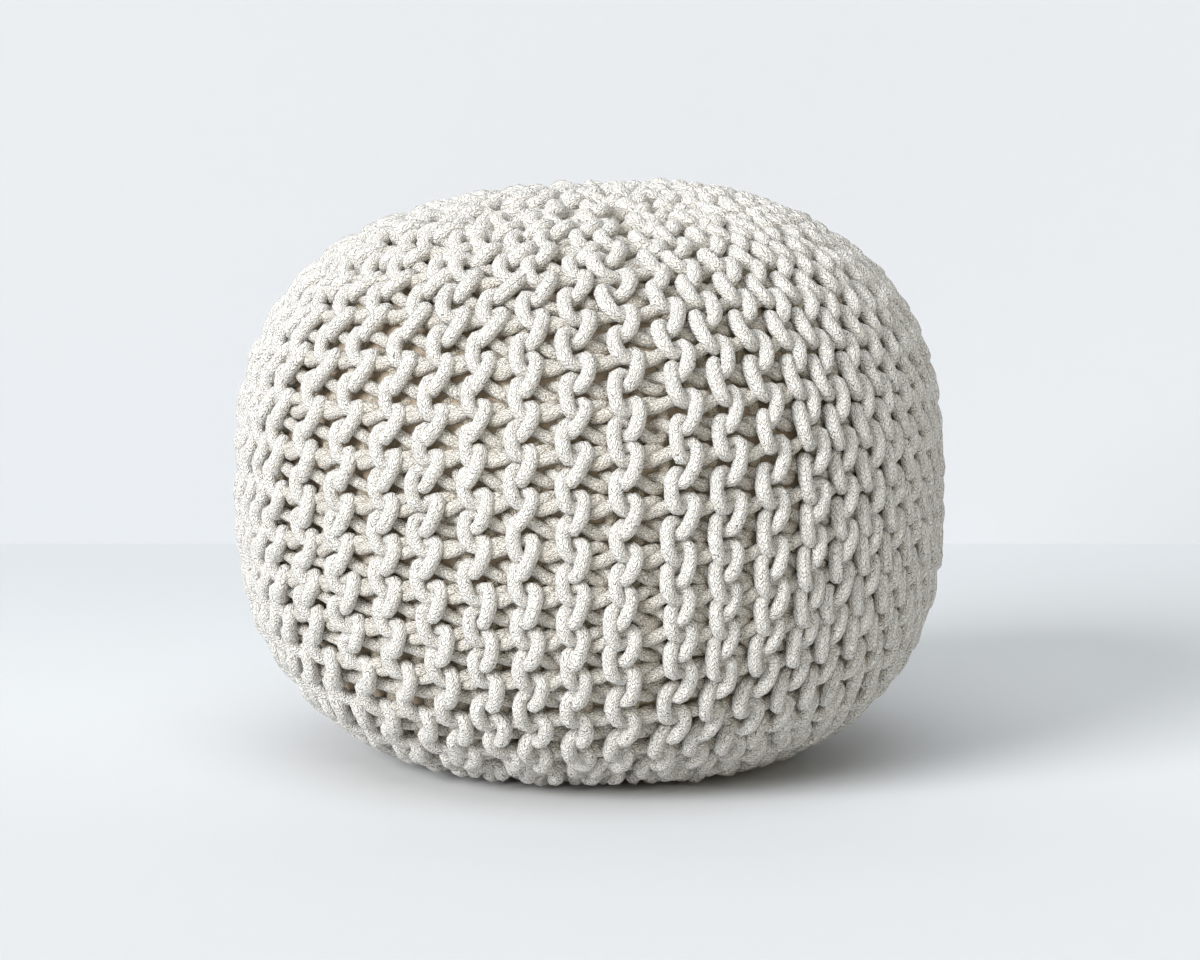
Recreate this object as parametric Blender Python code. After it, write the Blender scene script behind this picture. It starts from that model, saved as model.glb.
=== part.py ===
"""Knitted pouf: a thick cord cover in garter stitch, drawn in at both ends, over a filled bag.

Metres, +Z up, standing on z = 0. The ridges of the knitting run from the top to the underside.
"""

import math

import bmesh
import bpy

# The crest surface, before the lean: half a superellipse above the widest level, half below it.
CREST_RADIUS = 0.2125
WAIST_HEIGHT = 0.164
CROWN_RISE = 0.179
BELLY_DROP = 0.1795
CROWN_POWER = 2.65
BELLY_POWER = 2.5

# The top sinks to one side with use: it rises towards +X and slides towards -X.
TOP_HEIGHT = WAIST_HEIGHT + CROWN_RISE
TOP_TILT = 0.026
TOP_SLIDE = -0.0015

# Knitting
WALL = 0.022
EYE_RADIUS = 0.003
# the side turns down into the top's eye just before the middle
RIM_TURN_SHARE = 0.995
RIDGE_COUNT = 48
RIDGE_DEPTH = 0.0075
RIDGE_FADE_START = 0.045
RIDGE_FADE_END = 0.120
BASE_FADE_HEIGHT = 0.030

# Where each named ridge lies around the pouf: the knitting is stretched wider in some places.
# ridge number, angle in degrees from the front (-Y), positive towards +X
RIDGE_PLACES = (
    (0, -78.0),
    (3, -60.0),
    (6, -33.0),
    (11, 5.5),
    (12, 14.5),
    (15, 36.5),
    (21, 75.0),
    (48, 282.0),
)

# Across one ridge: share of the ridge's width, share of its depth below the crest
RIDGE_SECTION = (
    (0.00, 0.00),
    (0.30, 0.22),
    (0.50, 1.00),
    (0.70, 0.22),
)

# Mesh
OUTER_STEPS_UP = 10
OUTER_STEPS_DOWN = 9
INNER_STEPS_UP = 8
INNER_STEPS_DOWN = 8
INNER_COLUMNS = 48
FIT_GAP = 0.0003

COVER_COLOUR = (0.77, 0.74, 0.66)
COVER_ROUGHNESS = 0.92
BAG_COLOUR = (0.42, 0.34, 0.25)
BAG_ROUGHNESS = 0.95


def clear_scene():
    for item in list(bpy.data.objects):
        bpy.data.objects.remove(item, do_unlink=True)


def make_material(name, colour, roughness):
    material = bpy.data.materials.new(name)
    material.use_nodes = True
    shader = material.node_tree.nodes["Principled BSDF"]
    shader.inputs["Base Color"].default_value = (*colour, 1.0)
    shader.inputs["Roughness"].default_value = roughness
    shader.inputs["Metallic"].default_value = 0.0
    return material


def ridge_angle(ridge):
    """Angle of a ridge, whole or part, read between the named ridges."""
    for (first, start), (last, end) in zip(RIDGE_PLACES, RIDGE_PLACES[1:]):
        if ridge <= last:
            return math.radians(start + (end - start) * (ridge - first) / (last - first))
    return math.radians(RIDGE_PLACES[-1][1])


def profile_point(turn, inset):
    """Radius and height of the crest surface moved in by inset, at a turn of -90 to 90 degrees."""
    upper = turn >= 0.0
    power = CROWN_POWER if upper else BELLY_POWER
    reach = CROWN_RISE if upper else BELLY_DROP
    cosine = max(math.cos(turn), 0.0)
    sine = abs(math.sin(turn))
    radius = CREST_RADIUS * cosine ** (2.0 / power)
    rise = reach * sine ** (2.0 / power)
    # the outward direction of a superellipse at this point
    out_radius = (cosine ** (2.0 - 2.0 / power)) / CREST_RADIUS
    out_height = (sine ** (2.0 - 2.0 / power)) / reach
    length = math.hypot(out_radius, out_height)
    radius -= inset * out_radius / length
    rise -= inset * out_height / length
    height = WAIST_HEIGHT + (rise if upper else -rise)
    return radius, height


def smooth_share(value, start, end):
    share = min(max((value - start) / (end - start), 0.0), 1.0)
    return share * share * (3.0 - 2.0 * share)


def floor_turn(inset):
    """The turn at which the belly, moved in by inset, meets the level the same inset above the floor."""
    low, high = -math.pi / 2.0, 0.0
    for _ in range(50):
        middle = (low + high) / 2.0
        if profile_point(middle, inset)[1] < inset:
            low = middle
        else:
            high = middle
    return high


def profile(inset, steps_down, steps_up, eye_radius):
    """Stations from the underside's eye out along the flat base, up the side and in to the top's eye."""
    start = floor_turn(inset)
    base_radius = profile_point(start, inset)[0]
    stations = [(eye_radius, inset)]
    stations.append(((eye_radius + base_radius) / 2.0, inset))
    for step in range(steps_down):
        stations.append(profile_point(start * (1.0 - step / steps_down), inset))
    top_turn = math.pi / 2.0
    for step in range(steps_up):
        stations.append(profile_point(top_turn * step / steps_up, inset))
    rim_height = profile_point(top_turn * RIM_TURN_SHARE, inset)[1]
    stations.append((eye_radius, rim_height))
    return stations


def leaned(x, y, z):
    share = (z / TOP_HEIGHT) ** 2
    return (x + TOP_SLIDE * share, y, z + TOP_TILT * x * share)


def ring(mesh, radius, height, angles, depths=None):
    """One closed ring of points; depths, when given, are the falls below the crest surface."""
    points = []
    for column, angle in enumerate(angles):
        fall = depths[column] if depths else 0.0
        reach = radius - fall
        points.append(mesh.verts.new(leaned(reach * math.sin(angle), -reach * math.cos(angle), height)))
    return points


def skin(mesh, rings):
    """Faces between each ring and the next."""
    for lower, upper in zip(rings, rings[1:]):
        count = len(lower)
        for column in range(count):
            after = (column + 1) % count
            mesh.faces.new((lower[column], lower[after], upper[after], upper[column]))


def finish_object(name, mesh, material):
    bmesh.ops.recalc_face_normals(mesh, faces=mesh.faces[:])
    data = bpy.data.meshes.new(name)
    mesh.to_mesh(data)
    mesh.free()
    data.materials.append(material)
    data.shade_smooth()
    data.set_sharp_from_angle(angle=math.radians(50.0))
    item = bpy.data.objects.new(name, data)
    bpy.context.scene.collection.objects.link(item)
    return item


def ridge_columns():
    """The angle and the share of the ridge's depth for every column around the cover."""
    angles = []
    falls = []
    for ridge in range(RIDGE_COUNT):
        for across, fall in RIDGE_SECTION:
            angles.append(ridge_angle(ridge + across))
            falls.append(fall)
    return angles, falls


def ring_edges(mesh, points):
    return [mesh.edges.get(pair) for pair in zip(points, points[1:] + points[:1])]


def join_rings(mesh, first, second):
    """Bridge two rings with different numbers of points."""
    bmesh.ops.bridge_loops(mesh, edges=ring_edges(mesh, first) + ring_edges(mesh, second))


def make_cover(material):
    mesh = bmesh.new()
    angles, falls = ridge_columns()
    outer = []
    for radius, height in profile(0.0, OUTER_STEPS_DOWN, OUTER_STEPS_UP, EYE_RADIUS):
        depth = RIDGE_DEPTH * smooth_share(radius, RIDGE_FADE_START, RIDGE_FADE_END)
        depth *= smooth_share(height, 0.0, BASE_FADE_HEIGHT)
        outer.append(ring(mesh, radius, height, angles, [depth * fall for fall in falls]))
    skin(mesh, outer)

    plain = [2.0 * math.pi * column / INNER_COLUMNS for column in range(INNER_COLUMNS)]
    inner = []
    for radius, height in profile(WALL, INNER_STEPS_DOWN, INNER_STEPS_UP, EYE_RADIUS):
        inner.append(ring(mesh, radius, height, plain))
    skin(mesh, inner)

    join_rings(mesh, outer[0], inner[0])
    join_rings(mesh, outer[-1], inner[-1])
    return finish_object("knit_cover", mesh, material)


def make_bag(material):
    mesh = bmesh.new()
    plain = [2.0 * math.pi * column / INNER_COLUMNS for column in range(INNER_COLUMNS)]
    rings = []
    for radius, height in profile(WALL + FIT_GAP, INNER_STEPS_DOWN, INNER_STEPS_UP, EYE_RADIUS):
        rings.append(ring(mesh, radius, height, plain))
    skin(mesh, rings)
    mesh.faces.new(rings[0])
    mesh.faces.new(rings[-1])
    return finish_object("inner_bag", mesh, material)


def centre_over_origin(cover, others):
    """Move the pieces together so that the cover's box is centred on X = Y = 0."""
    for axis in (0, 1):
        places = [vertex.co[axis] for vertex in cover.data.vertices]
        middle = (min(places) + max(places)) / 2.0
        for item in [cover] + others:
            item.location[axis] = -middle


def main():
    clear_scene()
    cover = make_cover(make_material("cotton_cord", COVER_COLOUR, COVER_ROUGHNESS))
    bag = make_bag(make_material("bag_cloth", BAG_COLOUR, BAG_ROUGHNESS))
    centre_over_origin(cover, [bag])


main()
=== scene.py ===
import math

import bmesh
import bpy
import numpy as np
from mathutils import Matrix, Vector


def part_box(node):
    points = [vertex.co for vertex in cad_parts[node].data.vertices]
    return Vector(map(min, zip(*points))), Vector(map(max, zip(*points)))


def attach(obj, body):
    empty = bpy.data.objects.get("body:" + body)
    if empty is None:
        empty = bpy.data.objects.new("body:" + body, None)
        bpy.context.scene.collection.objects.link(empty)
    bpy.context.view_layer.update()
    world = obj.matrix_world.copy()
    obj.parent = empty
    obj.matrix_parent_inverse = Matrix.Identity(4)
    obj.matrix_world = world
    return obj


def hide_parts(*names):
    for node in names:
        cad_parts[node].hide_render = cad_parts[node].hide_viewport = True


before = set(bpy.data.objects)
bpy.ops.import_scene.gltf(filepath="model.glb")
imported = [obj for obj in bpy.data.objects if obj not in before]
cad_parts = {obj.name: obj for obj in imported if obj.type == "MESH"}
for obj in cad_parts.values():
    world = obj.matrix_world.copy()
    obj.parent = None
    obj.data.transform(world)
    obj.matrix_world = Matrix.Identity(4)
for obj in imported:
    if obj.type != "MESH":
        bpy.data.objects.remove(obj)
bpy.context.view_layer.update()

coverLow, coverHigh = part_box("knit_cover")
print("frame loaded: cover", [round(v, 4) for v in coverLow], [round(v, 4) for v in coverHigh])


# The pouf's own form: the surface that the tops of the ridges touch

poufShape = {
    "radius": (coverHigh[0] - coverLow[0]) / 2,
    "waistHeight": 0.164,
    "crownRise": 0.179,               # from the waist up to the top
    "bellyDrop": 0.1795,              # and down to the underside, before the floor flattens it
    "crownPower": 2.58,               # 2 is an ellipse, more is squarer
    "bellyPower": 2.5,
    "floorRound": 0.008,              # how softly the belly turns into the flat underside
    "topTilt": 0.020,                 # slope of the top, which sinks to the left with use
    "topSlide": -0.0015,
    "gatherSlide": (0.018, 0.008),    # the gathered middle of the top lies this far off centre
    "gatherReach": 0.15,              # and draws the knitting along up to this far from the middle
    "gatherShares": (0.5, 0.9),       # between these shares of the height the slide sets in
    "samples": 3000,
}

# Where some of the ridges lie, in degrees from the front: the knitting is stretched wider in places
ridgePlaces = (
    (0, -78.0),
    (3, -60.0),
    (6, -33.0),
    (11, 5.5),
    (12, 14.5),
    (15, 36.5),
    (21, 75.0),
    (48, 282.0),
)
ridgeCount = ridgePlaces[-1][0]


def pressFlat(height, softness):
    # heights below 0 come up to 0, with a soft turn
    return 0.5 * (height + np.sqrt(height ** 2 + softness ** 2))


def superellipseSide():
    # radius and height from the middle of the top, down the side, to the middle of the underside
    s = poufShape
    turn = np.linspace(math.pi / 2, -math.pi / 2, s["samples"])
    cosine = np.abs(np.cos(turn))
    sine = np.abs(np.sin(turn))
    upper = turn >= 0
    power = np.where(upper, s["crownPower"], s["bellyPower"])
    reach = np.where(upper, s["crownRise"], -s["bellyDrop"])
    radius = s["radius"] * cosine ** (2 / power)
    height = s["waistHeight"] + reach * sine ** (2 / power)
    height = np.where(height < s["waistHeight"] / 2, pressFlat(height, s["floorRound"]), height)
    return radius, height - height.min()


def evenSide():
    # the same side resampled at even steps of length, with its outward direction
    radius, height = superellipseSide()
    steps = np.hypot(np.diff(radius), np.diff(height))
    length = np.concatenate([[0], np.cumsum(steps)])
    along = np.linspace(0, length[-1], poufShape["samples"])
    radius = np.interp(along, length, radius)
    height = np.interp(along, length, height)
    fallRadius = np.gradient(radius, along)
    fallHeight = np.gradient(height, along)
    size = np.hypot(fallRadius, fallHeight)
    return along, radius, height, -fallHeight / size, fallRadius / size


sideAlong, sideRadius, sideHeight, sideOutRadius, sideOutHeight = evenSide()
sideLength = sideAlong[-1]
topHeight = sideHeight[0]


def radiusAt(along):
    return np.interp(along, sideAlong, sideRadius)


def uprightAt(along):
    # 1 where the side stands upright, 0 where it lies flat
    return np.interp(along, sideAlong, sideOutRadius)


def ridgeAngle(ridge):
    # works for any ridge number, also past the last one
    turns = np.floor(np.asarray(ridge) / ridgeCount)
    numbers = [place[0] for place in ridgePlaces]
    degrees = [place[1] for place in ridgePlaces]
    return np.radians(np.interp(ridge - turns * ridgeCount, numbers, degrees) + 360 * turns)


def smoothShare(value, start, end):
    # 0 up to start, 1 from end on, smooth between
    share = np.clip((value - start) / (end - start), 0, 1)
    return share * share * (3 - 2 * share)


def lean(points):
    # tilts the top and slides its gathered middle off centre
    s = poufShape
    share = (np.clip(points[..., 2], 0, None) / topHeight) ** 2
    moved = points.copy()
    moved[..., 2] += s["topTilt"] * points[..., 0] * share
    moved[..., 0] += s["topSlide"] * share
    near = 1 - smoothShare(np.hypot(points[..., 0], points[..., 1]), 0.0, s["gatherReach"])
    near = near * smoothShare(points[..., 2] / topHeight, *s["gatherShares"])
    moved[..., 0] += s["gatherSlide"][0] * near
    moved[..., 1] += s["gatherSlide"][1] * near
    return moved


def onSide(along, angle, depth, sideways=0.0):
    # a point under the crest surface: depth in along its normal, sideways along its circle
    outHeight = np.interp(along, sideAlong, sideOutHeight)
    radius = radiusAt(along) - depth * uprightAt(along)
    height = np.interp(along, sideAlong, sideHeight) - depth * outHeight
    x = radius * np.sin(angle) + sideways * np.cos(angle)
    y = -radius * np.cos(angle) + sideways * np.sin(angle)
    return np.stack([x, y, height], -1)


# The knitting: rows of heads and rows of feet take turns, and one of each makes a ridge

knitting = {
    "parts": 6,
    "stitches": 24,
    "pointsPerStitch": 24,
    "sides": 8,
    "seed": 23,
    "cordRadius": 0.0043,
    "legWidth": 0.86,               # share of the full width where a cord runs between two ridges
    "crownWidth": 1.24,             # the cord is slack and thicker on the crown and the underside

    # along the side, from the top to the underside
    "endGap": 0.007,
    "endMargin": 0.001,             # no cord comes closer to either end than this
    "firstStitch": 0.0036,          # the first head lies half a stitch and this far from the top's middle
    "slope": 0.0055,                # rows of stitches climb to the right
    "crownStretch": 0.011,          # stitches are longest where the side turns into the crown
    "crownTurn": (0.16, 0.26),      # this far from the top
    "bellyStretch": 0.014,          # and where it turns under
    "bellyTurn": (0.17, 0.25),      # this far from the underside's middle
    "endFade": 0.10,                # slope and stretch fade out over this length at both ends
    "sway": 0.0064,                 # how far a stitch bulges along its ridge
    "crownSway": 0.30,              # share of that kept on the crown and the underside
    "leftShorter": 0.20,            # share of it lost on the pouf's left side
    "backDrop": 0.0038,             # stitches on the inside lie this far down from halfway

    # across the ridge
    "headSpread": 0.0058,           # from a ridge's middle line to its heads, right, or its feet, left
    "backSpread": 0.0076,           # the same inside the cover
    "quickTurn": 0.02,              # how much quicker a cord crosses from ridge to ridge than a plain wave
    "sunkSpread": 0.72,             # share of the spread kept by a ridge that sinks among the others
    "pairing": 0.12,                # share of the spacing by which ridges draw together on the crown

    # under the tops of the ridges
    "rise": 0.0056,                 # from the middle of the fabric to the middle of the cord on a ridge
    "crownRise": 0.0048,
    "flatTop": (0.10, 0.07),        # how much the third and fifth waves flatten the stitches on the side
    "cross": 0.0011,                # the legs that climb to the right pass over the others
    "sunkDepth": 0.008,
    "endDive": 0.010,               # the rows dive in at the middle of the top
    "diveStart": 0.034,             # from this far along the side
    "floorGap": 0.0013,
    "floorRound": 0.0015,           # how softly the cord flattens out on the floor

    # shares of the pouf's radius between which one state of the knitting turns into the other
    "sideShares": (0.45, 0.95),     # lumps on the crown, flat-topped stitches on the side
    "halfSunk": (0.36, 0.54),       # every other ridge sinks
    "mostSunk": (0.16, 0.26),       # then every other one of those left
    "pairedShares": (0.66, 0.88),   # ridges draw together in pairs

    # unevenness
    "stitchJitter": 0.0010,         # how far a stitch strays
    "stitchScale": 0.11,            # and the share by which its size varies
    "splayScale": 4,                # the splay varies this many times as much
    "crownUneven": 2.0,             # stitches stray this much more on the crown and the underside
    "unevenSink": 0.04,             # share of the radius by which ridges start to sink sooner or later
    "unevenPlace": 0.0028,          # slow waves down the side
    "unevenRidge": 0.0014,          # sideways
    "unevenDepth": 0.0010,          # and in and out
    "ridgeWavesFrom": (0.02, 0.10),    # radius over which the ridges start to wave
    # waves: seed, how many, most turns round the pouf, shortest length down the side
    "placeWaves": (1, 14, 7, 0.16),
    "ridgeWaves": (2, 16, 9, 0.12),
    "depthWaves": (3, 12, 6, 0.20),

    # front: 1 if a stitch starts on its ridge, -1 if it starts inside the cover
    # splay: the upper ends stand further from the ridge's middle line, and more so on the left side
    # sag: the lower ends stand further out of the cover; tip: on the left side the upper ones do
    "heads": {"front": -1, "splay": 0.0022, "leftSplay": 0.0012, "sag": 0.0020, "tip": 0.0},
    "feet": {"front": 1, "splay": 0.0004, "leftSplay": 0.0009, "sag": 0.0007, "tip": 0.0024},
}

slowestWave = 0.4    # the longest waves have this share of the shortest ones' pace
waveSize = 0.6       # brings the sum of the waves to about -1 to 1
ridgeSpread = 7.3    # makes the sinking start at a different place on each ridge


def slowWaves(waves, angle, along):
    # a sum of waves that meet themselves after one turn round the pouf, the same each run
    seed, count, mostTurns, shortest = waves
    random = np.random.default_rng(seed)
    total = 0.0
    for _ in range(count):
        turns = random.integers(-mostTurns, mostTurns + 1)
        pace = random.uniform(slowestWave, 1.0) * 2 * math.pi / shortest
        phase = random.uniform(0, 2 * math.pi)
        total = total + np.sin(turns * angle + pace * along + phase)
    return total / math.sqrt(count / 2) * waveSize


def perStitch(random, turns, spread):
    # a value for each stitch, blended smoothly from one stitch to the next
    count = knitting["stitches"] + 3
    values = random.normal(0, spread, count)
    place = turns + 1
    low = np.clip(np.floor(place).astype(int), 0, count - 2)
    share = smoothShare(place - low, 0, 1)
    return values[low] * (1 - share) + values[low + 1] * share


def sunkShare(ridge, radius):
    # where the ridges crowd together near an end, every other ridge sinks, and later two of every four
    share = radius / poufShape["radius"] + knitting["unevenSink"] * math.sin(ridgeSpread * ridge)
    if ridge % 2 == 1:
        return 1 - smoothShare(share, *knitting["halfSunk"])
    if ridge % 4 == 2:
        return 1 - smoothShare(share, *knitting["mostSunk"])
    return 0 * radius


def startRow(row):
    # what holds all along a row; its stitches are counted in turns, and t is the same in radians
    k = knitting
    ridge = row // 2
    loop = k["heads"] if row % 2 == 0 else k["feet"]
    centre = ridge + 0.25 * loop["front"]
    angle = ridgeAngle(centre)
    turns = np.linspace(0, k["stitches"], k["stitches"] * k["pointsPerStitch"] + 1)
    t = 2 * math.pi * turns
    return {
        "ridge": ridge,
        "loop": loop,
        "random": np.random.default_rng(k["seed"] * 1000 + row),
        "turns": turns,
        "t": t,
        "angle": angle,
        "quarter": (ridgeAngle(centre + 0.25) - ridgeAngle(centre - 0.25)) / 2,
        "inFront": loop["front"] * np.cos(t),      # 1 on the ridge, -1 inside the cover
        "onLeft": max(0, -math.sin(angle)),
    }


def stitchAlong(row):
    # how far down the side the cord lies
    k = knitting
    random, turns, t = row["random"], row["turns"], row["t"]
    pitch = (sideLength - 2 * k["endGap"]) / k["stitches"]
    along = k["endGap"] + pitch * turns
    fromEnd = sideLength - along
    inward = smoothShare(along, 0, k["endFade"]) * smoothShare(fromEnd, 0, k["endFade"])
    shift = k["firstStitch"] - k["slope"] * np.sin(row["angle"])
    shift = shift + k["unevenPlace"] * slowWaves(k["placeWaves"], row["angle"], along)
    shift = shift - k["crownStretch"] * (1 - smoothShare(along, *k["crownTurn"]))
    shift = shift + k["bellyStretch"] * (1 - smoothShare(fromEnd, *k["bellyTurn"]))
    along = along + shift * inward
    along = along + perStitch(random, turns, k["stitchJitter"])

    onTheSide = smoothShare(radiusAt(along) / poufShape["radius"], *k["sideShares"])
    sway = k["sway"] * (k["crownSway"] + (1 - k["crownSway"]) * onTheSide)
    sway = sway * (1 - k["leftShorter"] * row["onLeft"])
    along = along + sway * np.sin(2 * t) * (1 + perStitch(random, turns, k["stitchScale"]))
    along = along + k["backDrop"] * (1 - row["inFront"]) / 2
    return np.clip(along, k["endMargin"], sideLength - k["endMargin"])


def stitchAcross(row, along):
    # the cord's angle round the pouf, and how far it lies sideways from there
    k = knitting
    random, turns, t, loop = row["random"], row["turns"], row["t"], row["loop"]
    radius = radiusAt(along)
    upright = uprightAt(along)
    spread = k["headSpread"] + (k["backSpread"] - k["headSpread"]) * (1 - row["inFront"]) / 2
    crowd = 1 - (1 - k["sunkSpread"]) * sunkShare(row["ridge"], radius)
    spread = spread * crowd * (1 + perStitch(random, turns, k["stitchScale"]))
    across = -(np.cos(t) - k["quickTurn"] * np.cos(3 * t)) / (1 - k["quickTurn"])
    splay = loop["splay"] * (1 + k["splayScale"] * perStitch(random, turns, k["stitchScale"]))
    splay = loop["front"] * (splay + loop["leftSplay"] * row["onLeft"])
    sideways = spread * across + splay * upright * np.sin(2 * t)

    paired = k["pairing"] * (1 - smoothShare(radius / poufShape["radius"], *k["pairedShares"]))
    towardsPair = -1 if row["ridge"] % 2 == 1 else 1
    paired = paired * towardsPair * 4 * row["quarter"] * radius
    sideways = sideways + paired * (1 + row["inFront"]) / 2

    stray = 1 + k["crownUneven"] * (1 - upright)
    sideways = sideways + stray * perStitch(random, turns + 0.5, k["stitchJitter"])
    angle = row["angle"] + row["quarter"] * across
    wave = k["unevenRidge"] * slowWaves(k["ridgeWaves"], angle, along)
    return angle, sideways + wave * smoothShare(radius, *k["ridgeWavesFrom"])


def stitchDepth(row, along, angle):
    # how far the cord lies under the tops of the ridges, and the same without what differs by place
    k = knitting
    t, loop = row["t"], row["loop"]
    radius = radiusAt(along)
    flat = smoothShare(radius, *(share * poufShape["radius"] for share in k["sideShares"]))
    third, fifth = k["flatTop"]
    lift = np.cos(t) + flat * (third * np.cos(3 * t) - fifth * np.cos(5 * t))
    lift = loop["front"] * lift / (1 + (third - fifth) * flat)
    lift = lift * (1 + perStitch(row["random"], row["turns"], k["stitchScale"]))
    rise = k["crownRise"] + (k["rise"] - k["crownRise"]) * flat
    plain = k["cordRadius"] + rise * (1 - lift)

    sag = loop["sag"] - loop["tip"] * row["onLeft"]
    depth = plain - sag * np.sin(2 * t) - k["cross"] * np.sin(t)
    depth = depth + k["sunkDepth"] * sunkShare(row["ridge"], radius)
    depth = depth + k["endDive"] * (1 - np.clip(along / k["diveStart"], 0, 1)) ** 2
    depth = depth + k["unevenDepth"] * slowWaves(k["depthWaves"], angle, along)
    return depth, plain


def rowPath(number):
    # one row from the top to the underside: its middle line, the cord's radius and its plain depth
    k = knitting
    row = startRow(number)
    along = stitchAlong(row)
    angle, sideways = stitchAcross(row, along)
    depth, plain = stitchDepth(row, along, angle)
    points = onSide(along, angle, depth, sideways)
    low = k["cordRadius"] + k["floorGap"]
    points[:, 2] = low + pressFlat(points[:, 2] - low, k["floorRound"])
    width = k["cordRadius"] * (1 - (1 - k["legWidth"]) * np.sin(row["t"]) ** 2)
    width = width * (1 + (k["crownWidth"] - 1) * (1 - uprightAt(along)))
    return lean(points), width, plain


# Nodes and objects

def setInputs(tree, node, inputs):
    # each input, by its name or number, gets a socket to link or a value to keep
    for key, value in inputs.items():
        if isinstance(value, bpy.types.NodeSocket):
            tree.links.new(value, node.inputs[key])
        else:
            node.inputs[key].default_value = value


def addNode(tree, kind, inputs=None, place=(0, 0), **settings):
    node = tree.nodes.new(kind)
    node.location = place
    for name, value in settings.items():
        setattr(node, name, value)
    setInputs(tree, node, inputs or {})
    return node


def mathNode(tree, operation, *values, place=(0, 0)):
    # a maths node; each value is a socket or a number
    return addNode(tree, "ShaderNodeMath", dict(enumerate(values)), place, operation=operation).outputs[0]


def addObject(name, data):
    item = bpy.data.objects.new(name, data)
    bpy.context.scene.collection.objects.link(item)
    return item


# Cords as tubes, by geometry nodes

knobs = {"perMetre": 240, "height": 0.0013}    # hand-spun cord: small lumps all over


def keepValue(tree, geometry, name, value, place, kind="FLOAT", domain="POINT"):
    # the geometry with a value stored on it under a name
    inputs = {"Geometry": geometry, "Name": name, "Value": value}
    node = addNode(tree, "GeometryNodeStoreNamedAttribute", inputs, place, data_type=kind, domain=domain)
    return node.outputs["Geometry"]


def keptValue(tree, name, place):
    node = addNode(tree, "GeometryNodeInputNamedAttribute", {"Name": name}, place, data_type="FLOAT")
    return node.outputs["Attribute"]


def measuredPaths(tree, paths):
    # each path as a curve that knows its length at every point
    curve = addNode(tree, "GeometryNodeMeshToCurve", {"Mesh": paths}, (-1000, 100))
    spline = addNode(tree, "GeometryNodeSplineParameter", place=(-1000, -100))
    return keepValue(tree, curve.outputs["Curve"], "cordLength", spline.outputs["Length"], (-800, 100))


def numberedRing(tree, sides):
    # a circle of radius 1 that knows how far round it each point lies, 0 to 1
    inputs = {"Resolution": sides, "Radius": 1.0}
    ring = addNode(tree, "GeometryNodeCurvePrimitiveCircle", inputs, (-800, -200))
    index = addNode(tree, "GeometryNodeInputIndex", place=(-1000, -400))
    share = mathNode(tree, "DIVIDE", index.outputs[0], sides, place=(-800, -400))
    return keepValue(tree, ring.outputs["Curve"], "cordAround", share, (-600, -200))


def unrolled(tree, tube):
    # a UV map in metres along and 0 to 1 round; the last face of a ring runs on to 1, not back to 0
    lastFaceFrom, nearStart = 0.3, 0.01    # the last face's mean lies above, the first one's below
    around = keptValue(tree, "cordAround", (-400, -300))
    mean = addNode(
        tree, "GeometryNodeFieldOnDomain", {0: around}, (-200, -400), data_type="FLOAT", domain="FACE"
    )
    onLastFace = mathNode(tree, "GREATER_THAN", mean.outputs[0], lastFaceFrom, place=(0, -400))
    atStart = mathNode(tree, "LESS_THAN", around, nearStart, place=(0, -250))
    seam = mathNode(tree, "MULTIPLY", onLastFace, atStart, place=(200, -300))
    whole = mathNode(tree, "ADD", around, seam, place=(400, -300))
    length = keptValue(tree, "cordLength", (200, -500))
    flat = addNode(tree, "ShaderNodeCombineXYZ", {"X": length, "Y": whole}, (600, -400))
    return keepValue(tree, tube, "UVMap", flat.outputs["Vector"], (400, 0), "FLOAT2", "CORNER")


def knobbly(tree, cords, perMetre, height):
    # pushes the surface in and out by a noise brought from 0 to 1 to -1 to 1
    noise = addNode(tree, "ShaderNodeTexNoise", {"Scale": perMetre, "Detail": 1.0}, (200, 300))
    centred = mathNode(tree, "MULTIPLY_ADD", noise.outputs["Fac"], 2.0, -1.0, place=(300, 300))
    lump = mathNode(tree, "MULTIPLY", centred, height, place=(400, 300))
    normal = addNode(tree, "GeometryNodeInputNormal", place=(400, 500))
    inputs = {0: normal.outputs["Normal"], "Scale": lump}
    push = addNode(tree, "ShaderNodeVectorMath", inputs, (600, 400), operation="SCALE")
    inputs = {"Geometry": cords, "Offset": push.outputs["Vector"]}
    return addNode(tree, "GeometryNodeSetPosition", inputs, (600, 100)).outputs["Geometry"]


def cordTubeTree():
    # paths of loose edges in; round cords out
    tree = bpy.data.node_groups.new("cordTube", "GeometryNodeTree")
    for label, kind in (
        ("Paths", "Geometry"),
        ("Sides", "Int"),
        ("Knobs per metre", "Float"),
        ("Knob height", "Float"),
        ("Material", "Material"),
    ):
        tree.interface.new_socket(label, in_out="INPUT", socket_type="NodeSocket" + kind)
    tree.interface.new_socket("Cords", in_out="OUTPUT", socket_type="NodeSocketGeometry")
    given = addNode(tree, "NodeGroupInput", place=(-1200, 0)).outputs

    inputs = {
        "Curve": measuredPaths(tree, given["Paths"]),
        "Profile Curve": numberedRing(tree, given["Sides"]),
        "Scale": keptValue(tree, "cordWidth", (-600, 300)),
        "Fill Caps": True,
    }
    tube = addNode(tree, "GeometryNodeCurveToMesh", inputs, (-400, 0)).outputs["Mesh"]
    cords = knobbly(tree, unrolled(tree, tube), given["Knobs per metre"], given["Knob height"])
    for kind, inputs, x in (
        ("GeometryNodeSetShadeSmooth", {}, 700),
        ("GeometryNodeRealizeInstances", {}, 800),
        ("GeometryNodeSetMaterial", {"Material": given["Material"]}, 1000),
    ):
        cords = addNode(tree, kind, {"Geometry": cords, **inputs}, (x, 0)).outputs["Geometry"]
    addNode(tree, "NodeGroupOutput", {"Cords": cords}, (1200, 0))
    return tree


def socketName(tree, label):
    for item in tree.interface.items_tree:
        if item.item_type == "SOCKET" and item.in_out == "INPUT" and item.name == label:
            return item.identifier
    raise KeyError(label)


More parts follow.
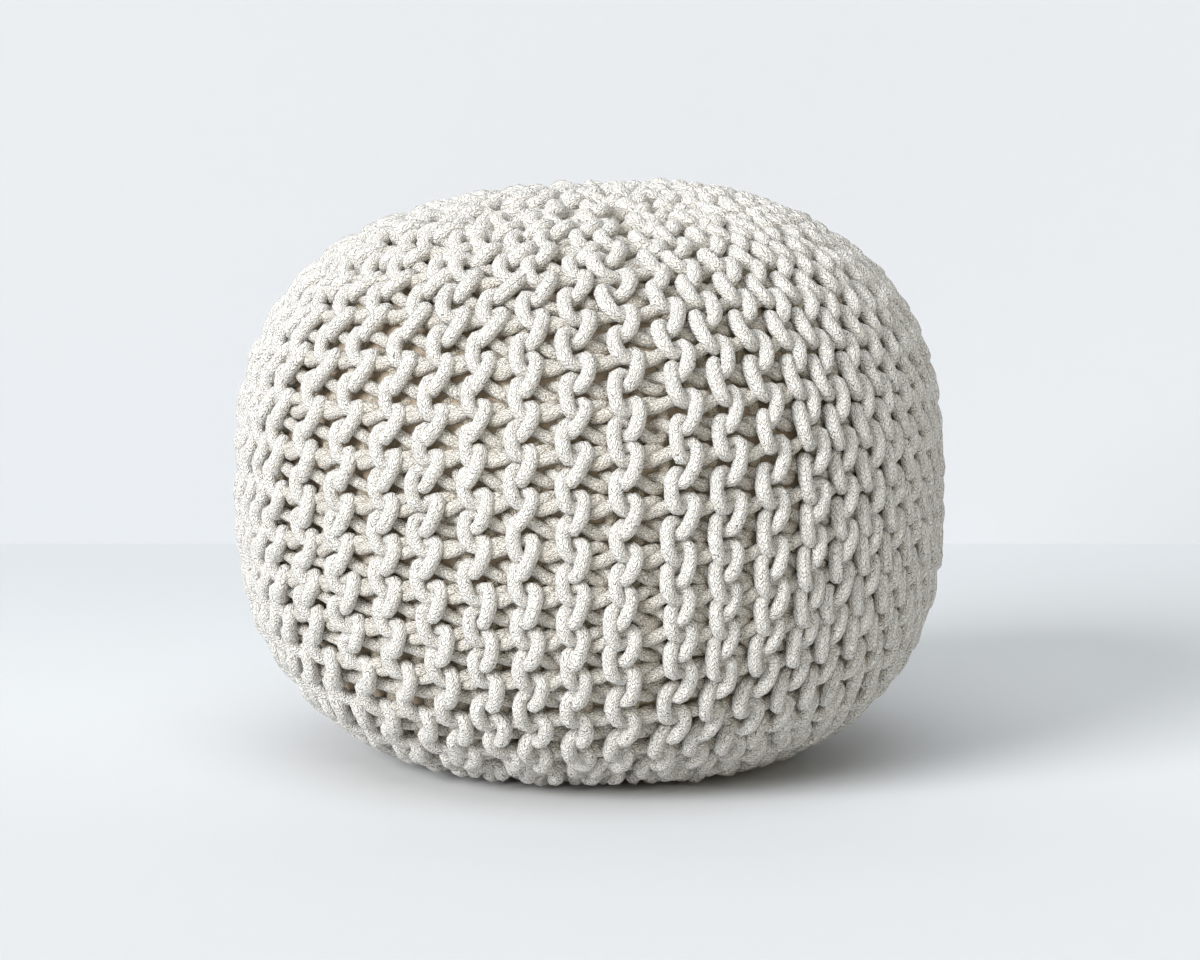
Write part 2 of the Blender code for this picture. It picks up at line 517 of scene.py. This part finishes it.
def pathObject(name, paths, widths, depths):
    # one loose-edge line for each path, with values kept at each point
    edges = []
    start = 0
    for path in paths:
        edges.extend((start + i, start + i + 1) for i in range(len(path) - 1))
        start += len(path)
    mesh = bpy.data.meshes.new(name)
    mesh.from_pydata(np.concatenate(paths).tolist(), edges, [])
    for label, values in (("cordWidth", widths), ("cordDepth", depths)):
        kept = mesh.attributes.new(label, "FLOAT", "POINT")
        kept.data.foreach_set("value", np.concatenate(values).astype(np.float32))
    return addObject(name, mesh)


def grow(item, tree, inputs):
    # runs the tree on the object and keeps the result as a plain mesh
    modifier = item.modifiers.new(tree.name, "NODES")
    modifier.node_group = tree
    for label, value in inputs.items():
        modifier[socketName(tree, label)] = value
    graph = bpy.context.evaluated_depsgraph_get()
    graph.update()
    mesh = bpy.data.meshes.new_from_object(item.evaluated_get(graph))
    item.modifiers.remove(modifier)
    item.data = mesh


# Materials

def mattMaterial(name, roughness):
    # a surface that hardly shines
    material = bpy.data.materials.new(name)
    material.use_nodes = True
    tree = material.node_tree
    shader = tree.nodes["Principled BSDF"]
    setInputs(tree, shader, {"Roughness": roughness, "Specular IOR Level": 0.1})
    return material, tree, shader


def objectPlace(tree):
    return addNode(tree, "ShaderNodeTexCoord").outputs["Object"]


def noiseNode(tree, vector, scale, detail=2.0, rough=0.5):
    inputs = {"Vector": vector, "Scale": scale, "Detail": detail, "Roughness": rough}
    return addNode(tree, "ShaderNodeTexNoise", inputs).outputs["Fac"]


def stepNode(tree, value, span):
    # 0 below the span, 1 above it, smooth between
    inputs = {"Value": value, "From Min": span[0], "From Max": span[1]}
    return addNode(tree, "ShaderNodeMapRange", inputs, interpolation_type="SMOOTHSTEP").outputs["Result"]


def mixColour(tree, share, first, second, blend="MIX"):
    # inputs 6 and 7 of the node are its two colours
    colours = [(*c, 1) if isinstance(c, tuple) else c for c in (first, second)]
    inputs = {0: share, 6: colours[0], 7: colours[1]}
    return addNode(tree, "ShaderNodeMix", inputs, data_type="RGBA", blend_type=blend).outputs[2]


def bumpNode(tree, height, strength, distance):
    inputs = {"Height": height, "Strength": strength, "Distance": distance}
    return addNode(tree, "ShaderNodeBump", inputs).outputs["Normal"]


def fromHalfway(tree, value):
    # how far a value lies from halfway between two whole numbers, 0 to 0.5
    return mathNode(tree, "ABSOLUTE", mathNode(tree, "SUBTRACT", mathNode(tree, "FRACT", value), 0.5))


cordFinish = {
    "light": (0.85, 0.838, 0.816),
    "warm": (0.825, 0.80, 0.755),
    "cloudy": (0.38, 0.66),        # span of the lumps' noise over which warm turns into light
    # painted shade: the colour darkened into the grooves between the small stitches and between their
    # columns
    "grooveShade": (0.56, 0.525, 0.465),
    "grooveShadeShare": 0.45,
    "edgeGrooveShade": 0.6,             # how dark the painted shade in the groove between columns is beside that between stitches
    "fleck": (0.07, 0.07, 0.075),
    "fleckShare": 0.78,
    "fleckChance": 0.52,           # share of the small stitches with a dark dash beside them
    "fleckPatches": (0.50, 0.56),  # span of a noise over which dark dashes set in
    "fleckReach": (0.40, 0.80),    # from this far from a stitch's middle, which is 0, to its end, 1
    "grooveShadeReach": (0.55, 0.97),
    # painted shade in the recesses: a darker, warmer colour for cord that lies deep under the ridges
    "recessShade": (0.66, 0.59, 0.48),
    "recessShadeShare": 0.85,             # how far the cord inside the cover takes the painted recess shade
    "recessShadeSpan": (0.0066, 0.016),   # as the cord goes this far under the tops of the ridges
    "roughness": 0.95,
    "sheen": 0.1,
    "sheenRoughness": 0.6,

    "plies": 8,                    # columns of small stitches round the cord
    "plyStep": 0.0025,             # length of one small stitch
    "plySlant": 1.5,               # how steeply the stitches rise beside a column's middle
    "plyWobble": 2.6,
    "wobbleSize": 260,
    "columnEdge": (0.34, 0.5),     # from this far from a column's middle to its edge
    "edgeDepth": 0.5,
    "stitchRound": 2.2,            # 2 is a round stitch, more is flatter
    "lumpSize": 275,
    "grainSize": 1100,
    "grainDetail": 3.0,
    "grainRough": 0.65,
    "patchSize": 880,
    "plyHeight": 0.55,             # shares of the bump
    "grainHeight": 0.55,
    "lumpHeight": 1.0,
    "bump": 0.0014,
}


def smallStitches(tree, place):
    # V-shaped stitches in columns along the cord: how far a point lies from the middle of its column
    # and of its stitch, and a number for each half of a stitch
    f = cordFinish
    uv = addNode(tree, "ShaderNodeUVMap", uv_map="UVMap").outputs["UV"]
    split = addNode(tree, "ShaderNodeSeparateXYZ", {"Vector": uv}).outputs
    column = mathNode(tree, "MULTIPLY", split["Y"], f["plies"])
    fromMiddle = fromHalfway(tree, column)
    wobble = mathNode(tree, "MULTIPLY", noiseNode(tree, place, f["wobbleSize"]), f["plyWobble"])
    phase = mathNode(tree, "ADD", mathNode(tree, "DIVIDE", split["X"], f["plyStep"]), wobble)
    slant = mathNode(tree, "ADD", phase, mathNode(tree, "MULTIPLY", fromMiddle, f["plySlant"]))
    fromCentre = mathNode(tree, "MULTIPLY", fromHalfway(tree, slant), 2.0)
    cell = addNode(tree, "ShaderNodeCombineXYZ", {
        "X": mathNode(tree, "FLOOR", mathNode(tree, "ADD", slant, 0.5)),
        "Y": mathNode(tree, "FLOOR", mathNode(tree, "MULTIPLY", column, 2.0)),
    }).outputs["Vector"]
    chance = addNode(tree, "ShaderNodeTexWhiteNoise", {"Vector": cell}, noise_dimensions="2D")
    return fromMiddle, fromCentre, chance.outputs["Value"]


def makeCordMaterial():
    f = cordFinish
    material, tree, shader = mattMaterial("cottonCord", f["roughness"])
    place = objectPlace(tree)
    fromMiddle, fromCentre, chance = smallStitches(tree, place)
    edge = stepNode(tree, fromMiddle, f["columnEdge"])
    rounded = mathNode(tree, "SUBTRACT", 1.0, mathNode(tree, "POWER", fromCentre, f["stitchRound"]))
    plied = mathNode(tree, "SUBTRACT", rounded, mathNode(tree, "MULTIPLY", edge, f["edgeDepth"]))
    grain = noiseNode(tree, place, f["grainSize"], f["grainDetail"], f["grainRough"])
    lumps = noiseNode(tree, place, f["lumpSize"])
    plyHeight = mathNode(tree, "MULTIPLY", plied, f["plyHeight"])
    height = mathNode(tree, "ADD", plyHeight, mathNode(tree, "MULTIPLY", grain, f["grainHeight"]))
    height = mathNode(tree, "ADD", height, mathNode(tree, "MULTIPLY", lumps, f["lumpHeight"]))

    # heathered cotton: pale and warm fibres, painted shade in the grooves between the small stitches and
    # between columns, scattered dark dashes
    colour = mixColour(tree, stepNode(tree, lumps, f["cloudy"]), f["warm"], f["light"])
    # painted shade: the grooves between small stitches and along the edges of the columns are darkened
    line = stepNode(tree, fromCentre, f["grooveShadeReach"])
    grooveShadeMask = mathNode(tree, "MAXIMUM", line, mathNode(tree, "MULTIPLY", edge, f["edgeGrooveShade"]))
    colour = mixColour(tree, mathNode(tree, "MULTIPLY", grooveShadeMask, f["grooveShadeShare"]), colour, f["grooveShade"])
    dark = stepNode(tree, chance, (1 - f["fleckChance"], 1.0))
    patchy = stepNode(tree, noiseNode(tree, place, f["patchSize"], 1.0), f["fleckPatches"])
    dash = stepNode(tree, fromCentre, f["fleckReach"])
    specks = mathNode(tree, "MULTIPLY", mathNode(tree, "MULTIPLY", dash, dark), f["fleckShare"])
    colour = mixColour(tree, mathNode(tree, "MULTIPLY", specks, patchy), colour, f["fleck"])

    # painted shade: the cord deep inside the cover, in the recesses under the ridges, is darkened and
    # warmed
    under = addNode(tree, "ShaderNodeAttribute", attribute_name="cordDepth").outputs["Fac"]
    recessShade = mathNode(tree, "MULTIPLY", stepNode(tree, under, f["recessShadeSpan"]), f["recessShadeShare"])
    recessShadeTint = mixColour(tree, recessShade, (1.0, 1.0, 1.0), f["recessShade"])
    setInputs(tree, shader, {
        "Base Color": mixColour(tree, 1.0, colour, recessShadeTint, blend="MULTIPLY"),
        "Normal": bumpNode(tree, height, 1.0, f["bump"]),
        "Sheen Weight": f["sheen"],
        "Sheen Roughness": f["sheenRoughness"],
    })
    return material


bagFinish = {
    "light": (0.44, 0.36, 0.275),
    "dark": (0.34, 0.275, 0.21),
    "fibreSpan": (0.35, 0.65),
    "threads": 620,                # threads a metre
    "fibreDetail": 3.0,
    "fibreRough": 0.7,
    "roughness": 0.95,
    "bump": 0.0006,
    "bumpStrength": 0.6,
}


def makeBagMaterial():
    f = bagFinish
    material, tree, shader = mattMaterial("bagCloth", f["roughness"])
    fibres = noiseNode(tree, objectPlace(tree), f["threads"], f["fibreDetail"], f["fibreRough"])
    setInputs(tree, shader, {
        "Base Color": mixColour(tree, stepNode(tree, fibres, f["fibreSpan"]), f["light"], f["dark"]),
        "Normal": bumpNode(tree, fibres, f["bumpStrength"], f["bump"]),
    })
    return material


# The cover

def makeCover():
    tree = cordTubeTree()
    inputs = {
        "Sides": knitting["sides"],
        "Knobs per metre": knobs["perMetre"],
        "Knob height": knobs["height"],
        "Material": makeCordMaterial(),
    }
    rows = [rowPath(number) for number in range(2 * ridgeCount)]
    perPart = len(rows) // knitting["parts"]
    made = []
    for part in range(knitting["parts"]):
        paths, widths, depths = zip(*rows[part * perPart:(part + 1) * perPart])
        item = pathObject("knit_" + str(part + 1), paths, widths, depths)
        grow(item, tree, inputs)
        made.append(item)
    length = sum(np.linalg.norm(np.diff(path, axis=0), axis=1).sum() for path, width, depth in rows)
    print("cover knitted:", len(rows), "rows,", round(float(length), 1), "m of cord")
    return made


# The bag inside it

bagShape = {
    "depth": 0.0140,               # under the tops of the ridges
    "endGap": 0.006,
    "columns": 96,
    "rings": 60,
}


def makeBag():
    s = bagShape
    mesh = bmesh.new()
    rings = []
    angles = np.arange(s["columns"]) * 2 * math.pi / s["columns"]
    for along in np.linspace(s["endGap"], sideLength - s["endGap"], s["rings"]):
        points = lean(onSide(np.full(len(angles), along), angles, s["depth"]))
        rings.append([mesh.verts.new(point) for point in points])
    for upper, lower in zip(rings, rings[1:]):
        for column in range(s["columns"]):
            after = (column + 1) % s["columns"]
            mesh.faces.new((upper[column], lower[column], lower[after], upper[after]))
    mesh.faces.new(rings[0])
    mesh.faces.new(list(reversed(rings[-1])))
    bmesh.ops.recalc_face_normals(mesh, faces=mesh.faces[:])
    data = bpy.data.meshes.new("bag")
    mesh.to_mesh(data)
    mesh.free()
    data.shade_smooth()
    data.materials.append(makeBagMaterial())
    print("bag filled")
    return addObject("bag", data)


coverParts = makeCover()
bag = makeBag()


# Camera, light and floor

viewpoint = {
    "distance": 2.10,
    "elevation": 7.5,
    "aimHeight": 0.165,
    "aimSide": 0.006,
    "frameWidth": 0.72,            # width in view at the pouf's middle
    "sensor": 36,
}


def makeCamera():
    v = viewpoint
    data = bpy.data.cameras.new("camera")
    camera = addObject("camera", data)
    aim = Vector((v["aimSide"], 0, v["aimHeight"]))
    tilt = math.radians(v["elevation"])
    back = Vector((0, -math.cos(tilt), math.sin(tilt)))
    camera.location = aim + back * v["distance"]
    camera.rotation_euler = (-back).to_track_quat("-Z", "Y").to_euler()
    data.sensor_width = v["sensor"]
    data.lens = v["sensor"] * v["distance"] / v["frameWidth"]
    data.dof.use_dof = False
    bpy.context.scene.camera = camera


studio = {
    "floor": (0.665, 0.680, 0.693),
    "floorBackShade": (0.57, 0.585, 0.60),    # painted shade: the floor darkens towards the wall
    "floorFade": 0.1,                    # from this far behind the pouf's middle
    "wall": (0.556, 0.573, 0.599),
    "paperRoughness": 0.8,
    "world": (1.0, 0.995, 0.985),
    "worldStrength": 0.20,
    "floorSize": 4.0,
    "wallDistance": 0.84,                # from the pouf's middle to the wall behind it
    # strength, degrees across, colour, where from
    "key": (3.75, 32, (1.0, 1.0, 1.0), (-0.81, -0.75, 0.505)),
    "above": (1.25, 50, (0.89, 0.95, 1.0), (-0.05, -0.42, 0.88)),
    "front": (0.90, 70, (1.0, 0.86, 0.56), (0.40, -1.00, -0.06)),
}


def paperMaterial(name, near, far=None):
    # one colour, or one that changes along the floor from the pouf to the wall, as painted shade there
    material, tree, shader = mattMaterial(name, studio["paperRoughness"])
    shader.inputs["Base Color"].default_value = (*near, 1)
    if far is not None:
        split = addNode(tree, "ShaderNodeSeparateXYZ", {"Vector": objectPlace(tree)}).outputs
        share = stepNode(tree, split["Y"], (studio["floorFade"], studio["wallDistance"]))
        setInputs(tree, shader, {"Base Color": mixColour(tree, share, near, far)})
    return material


def makeFloor():
    # a floor and the wall that stands behind it
    s = studio
    size = s["floorSize"]
    line = [(-size, 0.0), (s["wallDistance"], 0.0), (s["wallDistance"], size)]
    mesh = bmesh.new()
    left = [mesh.verts.new((-size, y, z)) for y, z in line]
    right = [mesh.verts.new((size, y, z)) for y, z in line]
    for i in range(2):
        face = mesh.faces.new((left[i], right[i], right[i + 1], left[i + 1]))
        face.material_index = i
    data = bpy.data.meshes.new("floor")
    mesh.to_mesh(data)
    mesh.free()
    data.materials.append(paperMaterial("floorPaper", s["floor"], s["floorBackShade"]))
    data.materials.append(paperMaterial("wallPaper", s["wall"]))
    floor = addObject("floor", data)


def makeSun(name, strength, softness, colour, source):
    data = bpy.data.lights.new(name, "SUN")
    data.energy = strength
    data.color = colour
    data.angle = math.radians(softness)
    lamp = addObject(name, data)
    lamp.rotation_euler = (-Vector(source)).to_track_quat("-Z", "Y").to_euler()


def makeStudio():
    makeFloor()
    for name in ("key", "above", "front"):
        makeSun(name + "Light", *studio[name])
    scene = bpy.context.scene
    scene.world = bpy.data.worlds.new("studio")
    scene.world.use_nodes = True
    sky = scene.world.node_tree.nodes["Background"]
    sky.inputs["Color"].default_value = (*studio["world"], 1)
    sky.inputs["Strength"].default_value = studio["worldStrength"]
    scene.view_settings.view_transform = "Standard"


makeCamera()
makeStudio()
print("studio set")


# Joining the frame

for item in coverParts:
    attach(item, "root")
    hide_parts("knit_cover")
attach(bag, "root")
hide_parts("inner_bag")
